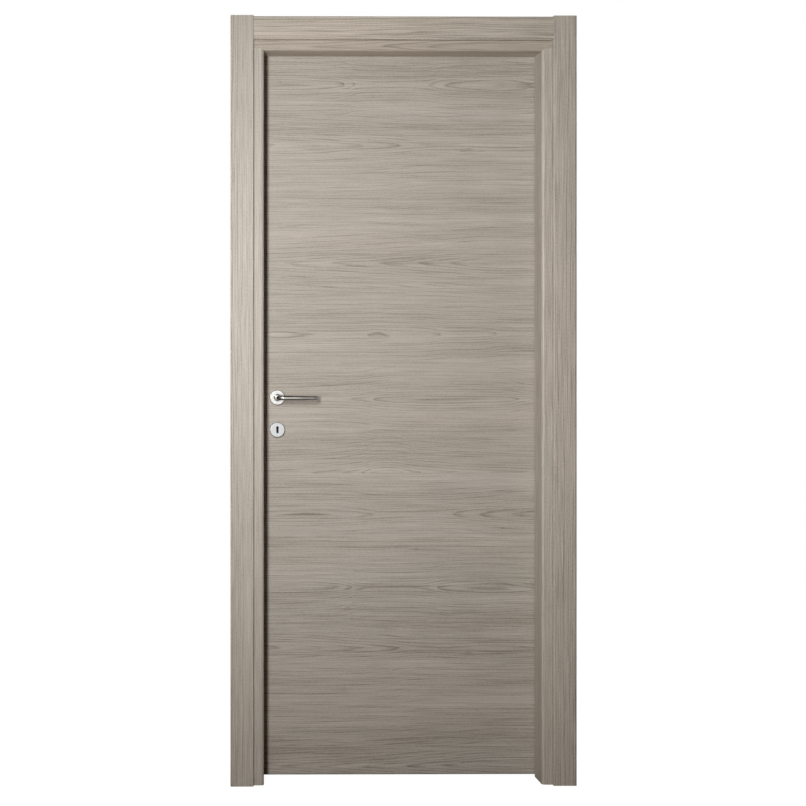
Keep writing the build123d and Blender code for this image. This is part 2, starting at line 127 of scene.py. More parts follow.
# Growth rings: the radius of their tips, their wobble, and how dark a ring is from its start to its end
RING_TIP_RADIUS = 0.009
WOBBLE_SCALES = (0.9, 48.0)
WOBBLE_RINGS = 2.4
RING_TONES = ((0.0, 0.15), (0.45, 0.0), (0.78, 0.65), (0.92, 1.0), (1.0, 0.15))
RING_REACH = (0.012, 0.060)

# How much each layer of the grain counts in boards with a figure and in plain boards, and how strong the
# rings are near their heart line and far from it
FIGURED_GRAIN = {"fibres": 0.80, "grit": 0.56, "tones": 0.75, "rings": -0.64, "near": 0.85, "far": 0.6}
PLAIN_GRAIN = {"fibres": 1.10, "grit": 0.70, "tones": 0.30, "rings": -0.42, "near": 1.0, "far": 1.0}
GRAIN_DEPTH = 0.00010

# The two uprights are cut from different lengths of the decor, and the hinge side's has more contrast
HAND_SHIFT = 3.7
HAND_CONTRAST = 0.11

# Warm and cool drifts of the laminate's hue, and the tones of edges and sides; the hinge side's darker, wider
# edge tone is painted shade on the edge that turns away from the light
WARM_DRIFT = (1.035, 0.985, 0.98)
COOL_DRIFT = (0.965, 1.015, 1.02)
LEAF_FOOT_TONE = (0.74, 0.75, 0.78, 1.0)
LOCK_EDGE_TONE = (0.90, 0.875, 0.82, 1.0)
HINGE_EDGE_SHADE_TONE = (0.70, 0.68, 0.64, 1.0)
HINGE_SIDE_TONE = (0.992, 0.988, 0.980, 1.0)

# Metals: the levers' brushing, the distances from a lever's axis where the painted dark reflection round its
# neck ends and where its painted highlight fades, and the tone it fades to; the painted shade on the
# rosettes' rims, and the reach and the painted shade colour of the holes in them
LEVER_BRUSHING = (60, 1500, 1500)
NECK_EDGE = (0.017, 0.010)
HIGHLIGHT_FADE = (0.046, 0.076)
FADED_TONE = (0.68, 0.68, 0.68, 1.0)
RIM_SHADE_TONE = (0.42, 0.42, 0.42, 1.0)
ROSETTE_HOLE = 0.0145
HOLE_SHADE_COLOUR = (0.012, 0.011, 0.010, 1.0)
SCRATCH_DEPTH = 0.000012
TURNING_DEPTH = 0.000010

# Small pieces: the dark sheet in the keyhole that stands in for the shade inside the lock, the screws' places
# and how far they stand out, and the dark beads that stand in for the shade in the casing joints
CURTAIN_SIZE = (0.0094, 0.0010, 0.0226)
CURTAIN_ROUNDING = 0.004
CURTAIN_SHADE_TONE = 0.2
SCREW_INSET = 0.011
SCREW_RISE = 0.0004
GRUB_OUT = 0.0042
GRUB_RISE = 0.0005
HINGE_BEAD_SHARE = 0.6
MERGE_DISTANCE = 1e-7


class LaminateSettings(bpy.types.PropertyGroup):
    """Colours and grain of the wood-grain laminate."""

    dark: FloatVectorProperty(
        name="Dark Grain", description="Colour of the darkest lines of the grain", subtype="COLOR",
        default=(0.258, 0.225, 0.185), min=0, max=1)
    middle: FloatVectorProperty(
        name="Ground", description="Colour of the laminate between its lines", subtype="COLOR",
        default=(0.422, 0.379, 0.327), min=0, max=1)
    pale: FloatVectorProperty(
        name="Pale Grain", description="Colour of the palest streaks", subtype="COLOR",
        default=(0.555, 0.500, 0.445), min=0, max=1)
    core: FloatVectorProperty(
        name="Board Core", description="Colour of the bare fibreboard at cut ends", subtype="COLOR",
        default=(0.330, 0.235, 0.150), min=0, max=1)
    streak: FloatProperty(
        name="Streak Width", description="Width of the plain streaks", subtype="DISTANCE", unit="LENGTH",
        default=0.0053, min=0.001, max=0.1)
    ring: FloatProperty(
        name="Ring Spacing", description="Distance between growth rings", subtype="DISTANCE", unit="LENGTH",
        default=0.0062, min=0.001, max=0.1)
    roughness: FloatProperty(
        name="Roughness", description="Roughness of the laminate's surface", subtype="FACTOR",
        default=0.47, min=0, max=1)


class FittingSettings(bpy.types.PropertyGroup):
    """Colours and small sizes of the metal fittings and the seals."""

    lever: FloatVectorProperty(
        name="Lever Metal", description="Colour of the satin levers", subtype="COLOR",
        default=(0.93, 0.91, 0.88), min=0, max=1)
    rosette: FloatVectorProperty(
        name="Handle Rosette Metal", description="Colour of the bright rosettes round the levers",
        subtype="COLOR", default=(0.72, 0.71, 0.685), min=0, max=1)
    key_rosette: FloatVectorProperty(
        name="Key Rosette Metal", description="Colour of the bright rosettes round the keyhole",
        subtype="COLOR", default=(0.60, 0.612, 0.612), min=0, max=1)
    hinge: FloatVectorProperty(
        name="Hinge Metal", description="Colour of the satin hinges", subtype="COLOR",
        default=(0.62, 0.62, 0.61), min=0, max=1)
    lock: FloatVectorProperty(
        name="Lock Metal", description="Colour of the faceplate, bolts and strike", subtype="COLOR",
        default=(0.62, 0.62, 0.60), min=0, max=1)
    case: FloatVectorProperty(
        name="Lock Case", description="Colour of the dark lock case", subtype="COLOR",
        default=(0.045, 0.043, 0.040), min=0, max=1)
    seal: FloatVectorProperty(
        name="Seal", description="Colour of the rubber seals", subtype="COLOR",
        default=(0.050, 0.042, 0.034), min=0, max=1)
    screw_radius: FloatProperty(
        name="Plate Screw Radius", description="Radius of the screw heads in the lock plates",
        subtype="DISTANCE", unit="LENGTH", default=0.0038, min=0.001, max=0.01)
    # The joint beads are dark strips that stand in for the shade in the gaps where the casings meet the jambs
    bead_radius: FloatProperty(
        name="Joint Bead Radius", description="Radius of the dark beads along the casing joints",
        subtype="DISTANCE", unit="LENGTH", default=0.0008, min=0.0002, max=0.005)
    grub_radius: FloatProperty(
        name="Grub Screw Radius", description="Radius of the grub screws under the lever necks",
        subtype="DISTANCE", unit="LENGTH", default=0.0021, min=0.001, max=0.01)


class StageSettings(bpy.types.PropertyGroup):
    """The camera, the three soft lamps and the even light."""

    camera_place: FloatVectorProperty(
        name="Camera", description="Where the camera stands", subtype="XYZ", unit="LENGTH",
        default=(-1.1836, -3.7192, 1.2501))
    camera_turn: FloatProperty(
        name="Camera Turn", description="How far the camera turns to the right",
        subtype="ANGLE", unit="ROTATION", default=math.radians(0.402))
    camera_lens: FloatProperty(
        name="Focal Length", description="Focal length on a 36 mm frame, in millimetres",
        default=57.38, min=10)
    camera_shift: FloatVectorProperty(
        name="Lens Shift", description="How far the picture is shifted, in picture widths", size=2,
        default=(0.3098, -0.0682))
    key_place: FloatVectorProperty(
        name="Key Lamp", description="Where the tall soft lamp stands", subtype="XYZ", unit="LENGTH",
        default=(-1.34, -1.84, 1.54))
    key_target: FloatVectorProperty(
        name="Key Target", description="Where the tall soft lamp points", subtype="XYZ", unit="LENGTH",
        default=(0.88, 0.0, 1.48))
    key_power: FloatProperty(
        name="Key Power", description="Power of the tall soft lamp, in watts", unit="POWER",
        default=50.2, min=0)
    key_size: FloatVectorProperty(
        name="Key Size", description="Width and height of the tall soft lamp",
        subtype="XYZ", unit="LENGTH", size=2, default=(0.28, 1.30), min=0.01)
    back_place: FloatVectorProperty(
        name="Back Lamp", description="Where the lamp behind the door stands", subtype="XYZ", unit="LENGTH",
        default=(0.95, 2.4, 2.35))
    back_power: FloatProperty(
        name="Back Power", description="Power of the lamp behind the door, in watts", unit="POWER",
        default=92.0, min=0)
    side_place: FloatVectorProperty(
        name="Side Lamp", description="Where the lamp at the lock side stands", subtype="XYZ", unit="LENGTH",
        default=(-2.9, 1.1, 2.2))
    side_power: FloatProperty(
        name="Side Power", description="Power of the lamp at the lock side, in watts", unit="POWER",
        default=55.0, min=0)
    soft_size: FloatProperty(
        name="Soft Lamp Size", description="Width and height of the lamps behind and beside the door",
        subtype="DISTANCE", unit="LENGTH", default=1.4, min=0.01)
    fill: FloatProperty(
        name="Fill", description="Strength of the even light from all round", default=0.012, min=0)


class Shading:
    """Adds and links the nodes of one material or world."""

    def __init__(self, tree):
        self.tree = tree

    def give(self, socket, value):
        """Links a value to a socket, or sets it there if it is a constant."""
        if isinstance(value, bpy.types.NodeSocket):
            self.tree.links.new(value, socket)
        else:
            socket.default_value = value

    def node(self, kind, inputs=None, **settings):
        """A node with its settings, its input values and its links."""
        made = self.tree.nodes.new(kind)
        for name, value in settings.items():
            setattr(made, name, value)
        for name, value in (inputs or {}).items():
            self.give(made.inputs[name], value)
        return made

    def math(self, operation, *values):
        """The result of a Math node."""
        return self.node("ShaderNodeMath", dict(enumerate(values)), operation=operation).outputs[0]

    def add(self, *values):
        """The sum of several values."""
        total = values[0]
        for value in values[1:]:
            total = self.math("ADD", total, value)
        return total

    def scaled(self, value, factor, shift=0.0):
        """A value times a factor plus a shift."""
        return self.math("MULTIPLY_ADD", value, factor, shift)

    def centred(self, value, width):
        """A value from 0 to 1, spread over a width about zero."""
        return self.scaled(value, width, -0.5 * width)

    def span(self, value, start, end, low=0.0, high=1.0, eased=True):
        """How far a value is from a start to an end, as a number between low and high."""
        inputs = {"Value": value, "From Min": start, "From Max": end, "To Min": low, "To Max": high}
        kind = "SMOOTHSTEP" if eased else "LINEAR"
        return self.node("ShaderNodeMapRange", inputs, interpolation_type=kind).outputs[0]

    def axes(self, vector):
        """The three parts of a place or a direction."""
        return self.node("ShaderNodeSeparateXYZ", {0: vector}).outputs

    def place(self, x, y, z=0.0):
        """A place from three numbers."""
        return self.node("ShaderNodeCombineXYZ", {"X": x, "Y": y, "Z": z}).outputs[0]

    def stretched(self, spot, scale, shift=(0, 0, 0)):
        """A place scaled along each axis, then shifted."""
        return self.node("ShaderNodeMapping", {"Vector": spot, "Location": shift, "Scale": scale}).outputs[0]

    def length(self, vector):
        """The length of a vector."""
        return self.node("ShaderNodeVectorMath", {0: vector}, operation="LENGTH").outputs["Value"]

    def noise(self, place, detail=2.0, roughness=0.5):
        """Noise from 0 to 1 at a place."""
        inputs = {"Vector": place, "Scale": 1.0, "Detail": detail, "Roughness": roughness, "Distortion": 0.0}
        return self.node("ShaderNodeTexNoise", inputs, noise_dimensions="3D").outputs["Fac"]

    def grain(self, along, across, scales, seed, detail=2.0, roughness=0.5):
        """Noise from 0 to 1 that is drawn out along the grain by its two scales."""
        spot = self.place(self.scaled(along, scales[0]), self.scaled(across, scales[1]), seed)
        return self.noise(spot, detail, roughness)

    def ramp(self, value, stops):
        """A colour read from a ramp of (position, colour) stops."""
        made = self.node("ShaderNodeValToRGB", {"Fac": value})
        band = made.color_ramp
        while len(band.elements) < len(stops):
            band.elements.new(1.0)
        for element, (position, colour) in zip(band.elements, stops):
            element.position = position
            element.color = (*colour[:3], 1.0)
        return made.outputs["Color"]

    def mottled(self, value, colour, low, high, stops=(0.3, 0.7)):
        """A colour that runs from a darker tone of itself to a paler one."""
        tones = [[min(1.0, part * factor) for part in colour] for factor in (low, high)]
        return self.ramp(value, tuple(zip(stops, tones)))

    def curve(self, value, points):
        """A value read from a smooth curve."""
        made = self.node("ShaderNodeFloatCurve", {"Value": value})
        line = made.mapping.curves[0]
        for position, height in points[1:-1]:
            line.points.new(position, height)
        line.points[0].location = points[0]
        line.points[-1].location = points[-1]
        made.mapping.update()
        return made.outputs[0]

    def mix(self, factor, first, second, blend="MIX"):
        """Two colours mixed by a factor."""
        made = self.node("ShaderNodeMix", data_type="RGBA", blend_type=blend)
        for socket, value in zip((made.inputs[0], made.inputs[6], made.inputs[7]), (factor, first, second)):
            self.give(socket, value)
        return made.outputs[2]

    def toned(self, mask, colour, tone):
        """A colour that is multiplied by a tone where a mask is 1."""
        return self.mix(mask, colour, self.mix(1.0, colour, tone, "MULTIPLY"))


def new_material(name):
    """A material with a shader, and the means to add nodes to it."""
    made = bpy.data.materials.new(name)
    made.use_nodes = True
    return made, Shading(made.node_tree), made.node_tree.nodes["Principled BSDF"]


def finish_shader(shade, shader, colour, roughness, height, depth, **constants):
    """Links colour, roughness and bump to the shader and sets its constant sockets."""
    bump = shade.node("ShaderNodeBump", {"Strength": 1.0, "Distance": depth, "Height": height})
    shade.give(shader.inputs["Base Color"], colour)
    shade.give(shader.inputs["Roughness"], roughness)
    shade.give(shader.inputs["Normal"], bump.outputs[0])
    for name, value in constants.items():
        shader.inputs[name.replace("_", " ")].default_value = value


def rgba(colour):
    """A colour with full opacity."""
    return (*colour, 1.0)


def leaf_figure(shade, along, across):
    """The leaf's growth rings: where they lie from their heart line, and how they shift along the grain."""
    down = shade.math("FLOORED_MODULO", shade.math("SUBTRACT", FIGURE_START, across), FIGURE_REPEAT)
    hearts = []
    moved = down
    for knot_along, knot_down, length, height in LEAF_KNOTS:
        aside = shade.math("SUBTRACT", along, knot_along)
        above = shade.math("SUBTRACT", down, knot_down)
        reach = shade.add(
            shade.math("POWER", shade.math("ABSOLUTE", shade.scaled(aside, 1 / length)), 2.0),
            shade.math("POWER", shade.math("ABSOLUTE", shade.scaled(above, 1 / height)), 2.0))
        swell = shade.math("EXPONENT", shade.scaled(reach, -1.0))
        moved = shade.math("SUBTRACT", moved, shade.math("MULTIPLY", shade.scaled(swell, KNOT_SWELL), above))
        hearts.append(shade.math("EXPONENT", shade.scaled(reach, -KNOT_HEART_SHARPNESS)))
    share = shade.span(along, LEAF_LEFT, LEAF_RIGHT, eased=False)
    rises = []
    middles = []
    for top, bottom, middle, points in LEAF_BANDS:
        inside = shade.math("COMPARE", down, (top + bottom) / 2, (bottom - top) / 2)
        rises.append(shade.math("MULTIPLY", inside, shade.curve(share, points)))
        middles.append(shade.scaled(inside, middle))
    away = shade.math("SUBTRACT", moved, shade.add(*middles))
    return away, shade.scaled(shade.add(*rises), BAND_RINGS), shade.add(*hearts)


def plain_figure(shade, along, across, heart, drift):
    """Growth rings of a plainer board, which drift slowly along the grain."""
    wander = shade.grain(along, across, (1.1, 2.0), 3.7, 1.0)
    return shade.math("SUBTRACT", across, heart), shade.scaled(wander, drift), None


def tipped_figure(shade, along, across, heart, fall):
    """Growth rings that close in rounded tips, one after the other along the grain."""
    wander = shade.grain(along, across, (2.6, 2.0), 8.2, 1.0)
    shift = shade.add(shade.scaled(along, -fall), shade.scaled(wander, 2.0))
    return shade.math("SUBTRACT", across, heart), shift, None


def growth_rings(shade, away, shift, wobble, weights):
    """How dark the growth rings are, each one by its own chance and by how near the heart line it lies."""
    ring = bpy.context.scene.door_laminate.ring
    distance = shade.math("SQRT", shade.math("MULTIPLY_ADD", away, away, RING_TIP_RADIUS**2))
    phase = shade.add(shade.scaled(distance, 1 / ring), shift, shade.scaled(wobble, WOBBLE_RINGS))
    line = shade.ramp(shade.math("FRACT", phase), [(position, (tone,) * 3) for position, tone in RING_TONES])
    number = shade.math("FLOOR", phase)
    chance = shade.node("ShaderNodeTexWhiteNoise", {"W": number}, noise_dimensions="1D").outputs[0]
    strength = shade.span(shade.math("ABSOLUTE", away), *RING_REACH, weights["near"], weights["far"])
    return shade.math("MULTIPLY", shade.math("MULTIPLY", line, strength), shade.scaled(chance, 0.75, 0.25))


def grain_level(shade, along, across, figure, contrast, weights, sway, seed):
    """How pale the grain is, from 0 to 1, from streaks, fibres, grit, broad tones and growth rings."""
    streak = 1 / bpy.context.scene.door_laminate.streak
    wander = shade.grain(along, across, (sway[0], SWAY_ACROSS), seed)
    ripple = shade.grain(along, across, RIPPLE_SCALES, seed + 1)
    swayed = shade.add(across, shade.centred(wander, sway[1]), shade.centred(ripple, RIPPLE_WIDTH))
    away, shift, knots = figure(shade, along, swayed)
    wobble = shade.grain(along, swayed, WOBBLE_SCALES, seed + 2)
    rings = growth_rings(shade, away, shift, wobble, weights)
    streaks = shade.grain(along, swayed, (3.6, streak), seed + 3, 5.0, 0.70)
    fibres = shade.grain(along, swayed, (9.0, streak * 2.2), seed + 4, 2.0, 0.6)
    grit = shade.grain(along, swayed, (170.0, streak * 3.7), seed + 6, 1.0)
    tones = shade.grain(along, swayed, (0.9, 17.0), seed + 5, 3.0, 0.55)
    grained = shade.add(
        shade.centred(streaks, 1.0),
        shade.centred(fibres, weights["fibres"]),
        shade.centred(grit, weights["grit"]),
        shade.centred(tones, weights["tones"]),
        shade.scaled(rings, weights["rings"], 0.12))
    level = shade.math("MULTIPLY_ADD", grained, contrast, 0.5)
    return level if knots is None else shade.add(level, shade.scaled(knots, KNOT_TONE))


def upright_tones(shade, colour, spot, axes, hand, side, reveal_shade_tone, seed):
    """Painted shade on the upright boards' reveals and on the hinge side's outer edge, a darker line along
    the lock side's outer edge, a slight tone on the hinge side's boards, and the bare board at their cut
    ends.
    """
    normal = shade.axes(spot["Normal"])
    # Painted shade: faces that look sideways, such as the jambs' reveals, are made darker by the given tone,
    # for the shade that falls on them
    reveal = shade.math("GREATER_THAN", shade.math("ABSOLUTE", normal["X"]), 0.95)
    colour = shade.toned(reveal, colour, rgba(reveal_shade_tone))
    right = shade.math("GREATER_THAN", hand, 0.0)
    # Painted shade: the outer edge band is wider and darker on the hinge side, for the edge that turns away
    # from the light; on the lock side it is a darker line along the edge
    widened = shade.math("MULTIPLY_ADD", right, 0.002, side)
    edge = shade.span(widened, CASING_EDGE - 0.0045, CASING_EDGE - 0.0015)
    colour = shade.toned(edge, colour, shade.mix(right, LOCK_EDGE_TONE, HINGE_EDGE_SHADE_TONE))
    colour = shade.toned(right, colour, HINGE_SIDE_TONE)
    cut = shade.math("GREATER_THAN", shade.math("ABSOLUTE", normal["Z"]), 0.9)
    speckle = shade.grain(axes["X"], axes["Y"], (900.0, 900.0), seed, 3.0)
    return shade.mix(cut, colour, shade.mottled(speckle, bpy.context.scene.door_laminate.core, 0.75, 1.2))


def laminate(
        name, grain, figure, contrast, seed, sway=(1.7, 0.016), painted_light_tint=(1.0, 1.0, 1.0), gloss=0.22,
        weights=FIGURED_GRAIN, reveal_shade_tone=(0.865, 0.865, 0.86)):
    """Wood-grain laminate with its grain level or upright, and with the leaf's darker foot on the leaf."""
    settings = bpy.context.scene.door_laminate
    made, shade, shader = new_material(name)
    spot = shade.node("ShaderNodeTexCoord").outputs
    axes = shade.axes(spot["Object"])
    if grain == "level":
        along = axes["X"]
        side = axes["Z"]
    else:
        offset = shade.math("SUBTRACT", axes["X"], DOOR_MIDDLE)
        hand = shade.math("SIGN", offset)
        along = shade.add(axes["Z"], shade.scaled(hand, HAND_SHIFT))
        side = shade.math("ABSOLUTE", offset)
        contrast = shade.scaled(hand, HAND_CONTRAST * contrast, contrast)
    if isinstance(contrast, tuple):
        height = shade.span(side, LEAF_FOOT, LEAF_TOP, eased=False)
        contrast = shade.scaled(shade.curve(height, contrast), 2.0)
    across = shade.math("SUBTRACT", side, axes["Y"])
    level = grain_level(shade, along, across, figure, contrast, weights, sway, seed)

    grained = shade.ramp(level, ((0.0, settings.dark), (0.5, settings.middle), (1.0, settings.pale)))
    hue = shade.grain(along, across, (0.9, 7.0), seed + 7)
    # Painted light and shade: each part's colour factor makes this copy of the laminate lighter or darker,
    # warmer or cooler, for how that part is lit
    drifts = [rgba([a * b for a, b in zip(drift, painted_light_tint)]) for drift in (WARM_DRIFT, COOL_DRIFT)]
    colour = shade.mix(1.0, grained, shade.mix(hue, *drifts), "MULTIPLY")
    if figure is leaf_figure:
        foot = shade.span(axes["Z"], LEAF_FOOT + 0.006, LEAF_FOOT + 0.002)
        colour = shade.toned(foot, colour, LEAF_FOOT_TONE)
    if grain == "upright":
        colour = upright_tones(shade, colour, spot, axes, hand, side, reveal_shade_tone, seed)
    roughness = shade.scaled(level, -0.14, settings.roughness + 0.07)
    finish_shader(shade, shader, colour, roughness, level, GRAIN_DEPTH, Specular_IOR_Level=gloss)
    return made


def brushing(shade, spot, stretch, roughness, seed):
    """Fine scratches along one direction, and the mottle and roughness that they give with soft wear."""
    scratches = shade.noise(shade.stretched(spot, stretch), 3.0, 0.6)
    wear = shade.noise(shade.stretched(spot, (45,) * 3, (seed, 0, 0)), 3.0)
    mottle = shade.add(shade.scaled(scratches, 0.6), shade.scaled(wear, 0.4))
    rough = shade.add(shade.scaled(scratches, 0.10), shade.scaled(wear, 0.06, roughness - 0.08))
    return scratches, mottle, rough


def metal(name, colour, roughness, stretch, seed):
    """Brushed metal with soft cloudy wear."""
    made, shade, shader = new_material(name)
    spot = shade.node("ShaderNodeTexCoord").outputs["Object"]
    scratches, mottle, rough = brushing(shade, spot, stretch, roughness, seed)
    shown = shade.mottled(mottle, colour, 0.92, 1.08)
    finish_shader(shade, shader, shown, rough, scratches, SCRATCH_DEPTH, Metallic=1.0)
    return made


def lever_metal(name, colour, roughness, axis, seed):
    """Satin bar metal painted with light and shade: a highlight along its front that fades towards its tip,
    and dark reflections over, under and round the neck.
    """
    made, shade, shader = new_material(name)
    spot = shade.node("ShaderNodeTexCoord").outputs
    scratches, mottle, rough = brushing(shade, spot["Object"], LEVER_BRUSHING, roughness, seed)
    # Painted reflection: the colour is made dark over, under and round the neck, and darker towards the tip,
    # standing in for the reflections the bar shows there
    over = shade.span(shade.math("ABSOLUTE", shade.axes(spot["Normal"])["Z"]), 0.25, 0.80)
    aside = shade.math("ABSOLUTE", shade.math("SUBTRACT", shade.axes(spot["Object"])["X"], axis))
    neck = shade.span(aside, *NECK_EDGE)
    faded = shade.span(aside, *HIGHLIGHT_FADE)
    painted_highlight = shade.toned(faded, shade.mottled(mottle, colour, 0.97, 1.06), FADED_TONE)
    painted_dark_reflection = shade.mottled(mottle, colour, 0.23, 0.32)
    shown = shade.mix(shade.math("MAXIMUM", over, shade.scaled(neck, 0.92)), painted_highlight, painted_dark_reflection)
    rough = shade.add(rough, shade.scaled(neck, 0.20))
    finish_shader(shade, shader, shown, rough, scratches, SCRATCH_DEPTH, Metallic=1.0)
    return made


def rosette_metal(name, colour, roughness, centre, seed):
    """Bright metal turned on a lathe: fine rings round the rosette's centre, painted shade on its rim, and
    the walls of its hole painted near black as the shade inside it.
    """
    made, shade, shader = new_material(name)
    spot = shade.node("ShaderNodeTexCoord").outputs
    axes = shade.axes(spot["Object"])
    reach = shade.length(shade.place(
        shade.math("SUBTRACT", axes["X"], centre.x), 0.0, shade.math("SUBTRACT", axes["Z"], centre.z)))
    turned = shade.noise(shade.place(shade.scaled(reach, 2600.0), 0.0, seed), 2.0)
    clouds = shade.noise(shade.stretched(spot["Object"], (110,) * 3), 3.0)
    mottle = shade.add(shade.scaled(turned, 0.4), shade.scaled(clouds, 0.6))
    facing = shade.math("ABSOLUTE", shade.axes(spot["Normal"])["Y"])
    # Painted shade: the walls of the hole are made near black and not metallic, for the shade down in the
    # hole
    wall = shade.math(
        "MULTIPLY", shade.math("LESS_THAN", facing, 0.5), shade.math("LESS_THAN", reach, ROSETTE_HOLE))
    # Painted shade: the rounded rim is made darker, which hides the lamp's highlight there and draws a dark
    # outline
    rim = shade.span(facing, 0.998, 0.965, eased=False)
    shown = shade.toned(rim, shade.mottled(mottle, colour, 0.90, 1.06), RIM_SHADE_TONE)
    shown = shade.mix(wall, shown, HOLE_SHADE_COLOUR)
    rough = shade.add(
        shade.scaled(turned, 0.08), shade.scaled(clouds, 0.10, roughness - 0.09),
        shade.scaled(rim, 0.50), shade.scaled(wall, 0.2))
    shade.give(shader.inputs["Metallic"], shade.scaled(wall, -1.0, 1.0))
    finish_shader(shade, shader, shown, rough, turned, TURNING_DEPTH)
    return made


def rubber(name, colour):
    """Soft matt rubber with a faint grain and dusty patches."""
    made, shade, shader = new_material(name)
    spot = shade.node("ShaderNodeTexCoord").outputs["Object"]
    grain = shade.noise(shade.stretched(spot, (1500,) * 3), 2.0)
    dust = shade.noise(shade.stretched(spot, (60, 60, 9)), 3.0)
    mottle = shade.add(shade.scaled(grain, 0.4), shade.scaled(dust, 0.6))
    shown = shade.mottled(mottle, colour, 0.8, 1.35, (0.35, 0.75))
    finish_shader(shade, shader, shown, shade.scaled(dust, 0.2, 0.55), grain, 0.00005)
    return made


def painted(name, colour, gloss=0.5):
    """Dark sprayed metal with a fine mottle."""
    made, shade, shader = new_material(name)
    spot = shade.node("ShaderNodeTexCoord").outputs["Object"]
    mottle = shade.noise(shade.stretched(spot, (700,) * 3), 3.0)
    shown = shade.mottled(mottle, colour, 0.8, 1.3)
    rough = shade.scaled(mottle, 0.2, 0.42)
    finish_shader(shade, shader, shown, rough, mottle, 0.00003, Specular_IOR_Level=gloss)
    return made


def dress(nodes, material):
    """Puts a material in the slots of several CAD nodes."""
    for name in nodes:
        slots = NODES[name].material_slots
        if not slots:
            raise RuntimeError(f"{name} has no material slot")
        for slot in slots:
            slot.material = material


def new_piece(name, shape, material, body):
    """Makes a finished mesh a piece of the door that moves with a body."""
    bmesh.ops.remove_doubles(shape, verts=shape.verts, dist=MERGE_DISTANCE)
    bmesh.ops.recalc_face_normals(shape, faces=shape.faces)
    mesh = bpy.data.meshes.new(name)
    shape.to_mesh(mesh)
    shape.free()
    mesh.materials.append(material)
    piece = bpy.data.objects.new(name, mesh)
    bpy.context.scene.collection.objects.link(piece)
    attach(piece, body)


def placed(shape, centre, outward):
    """Turns a shape made round the z axis to face outward and moves it to its place."""
    turn = Vector((0, 0, 1)).rotation_difference(Vector(outward)).to_matrix().to_4x4()
    bmesh.ops.transform(shape, matrix=Matrix.Translation(centre) @ turn, verts=shape.verts)
    return shape


def new_verts(made):
    """The vertices that a bmesh operator has just made."""
    return [item for item in made["geom"] if isinstance(item, bmesh.types.BMVert)]


def add_rings(shape, rings):
    """Draws the open edge of a shape out in rings, each given by its spread and its drop."""
    for spread, drop in rings:
        edges = [e for e in shape.edges if e.is_boundary]
        ring = new_verts(bmesh.ops.extrude_edge_only(shape, edges=edges))
        bmesh.ops.scale(shape, verts=ring, vec=(spread, spread, 1.0))
        bmesh.ops.translate(shape, verts=ring, vec=(0, 0, -drop))


def screw_head(centre, outward, radius, rise):
    """A screw head with a cross recess, a rounded rim and a straight side that goes into what it holds."""
    flat = 0.9
    arm = radius * 0.15
    shape = bmesh.new()
    bmesh.ops.create_grid(shape, x_segments=5, y_segments=5, size=radius * 0.5)
    inner = [e for e in shape.edges if e.is_boundary]
    middles = {f: f.calc_center_median() for f in shape.faces}
    cross = [f for f, middle in middles.items() if min(abs(middle.x), abs(middle.y)) < arm]
    rim = bmesh.ops.create_circle(shape, radius=radius * flat, segments=20)["verts"]
    bmesh.ops.rotate(shape, verts=rim, cent=(0, 0, 0), matrix=Matrix.Rotation(math.radians(45), 3, "Z"))
    outer = [e for e in shape.edges if all(v in rim for v in e.verts)]
    bmesh.ops.bridge_loops(shape, edges=inner + outer)
    recess = new_verts(bmesh.ops.extrude_face_region(shape, geom=cross))
    bmesh.ops.translate(shape, verts=recess, vec=(0, 0, -0.8 * rise))
    add_rings(shape, ((1 / flat, 0.25 * rise), (1.0, 1.5 * rise)))
    bmesh.ops.translate(shape, verts=shape.verts, vec=(0, 0, rise))
    return placed(shape, centre, outward)


def grub_screw(centre, outward, radius, rise):
    """A small set screw with a six-sided socket."""
    shape = bmesh.new()
    disc = bmesh.ops.create_circle(shape, cap_ends=True, radius=radius * 0.55, segments=6)
    socket = disc["verts"][0].link_faces[0]
    add_rings(shape, ((1.65, 0.0), (1.10, 0.2 * rise), (1.0, 1.2 * rise)))
    floor = new_verts(bmesh.ops.extrude_face_region(shape, geom=[socket]))
    bmesh.ops.translate(shape, verts=floor, vec=(0, 0, -0.7 * rise))
    bmesh.ops.translate(shape, verts=shape.verts, vec=(0, 0, rise))
    return placed(shape, centre, outward)


def gap_shade_bead(start, end, radius):
    """A thin round bead from one point to another, closed at both ends."""
    shape = bmesh.new()
    bmesh.ops.create_circle(shape, cap_ends=True, radius=radius, segments=12)
    face = shape.faces[:][0]
    run = Vector(end) - Vector(start)
    top = new_verts(bmesh.ops.extrude_face_region(shape, geom=[face]))
    bmesh.ops.translate(shape, verts=top, vec=(0, 0, run.length))
    return placed(shape, Vector(start), run)


class DOOR_OT_dress_leaf(bpy.types.Operator):
    """Gives the leaf its level-grained laminate and its edges an upright one"""

    bl_idname = "door.dress_leaf"
    bl_label = "Dress Leaf"

    def execute(self, context):
        face = laminate("leaf_laminate", "level", leaf_figure, LEAF_CONTRAST, 1.3)
        rings = partial(plain_figure, heart=0.30, drift=4.0)
        edge = laminate("edge_band_laminate", "upright", rings, 1.2, 41.0, weights=PLAIN_GRAIN)
        dress(("leaf_push_skin", "leaf_pull_skin", "leaf_top_rail", "leaf_bottom_rail"), face)
        dress(("leaf_lock_stile", "leaf_hinge_stile"), edge)
        return {"FINISHED"}


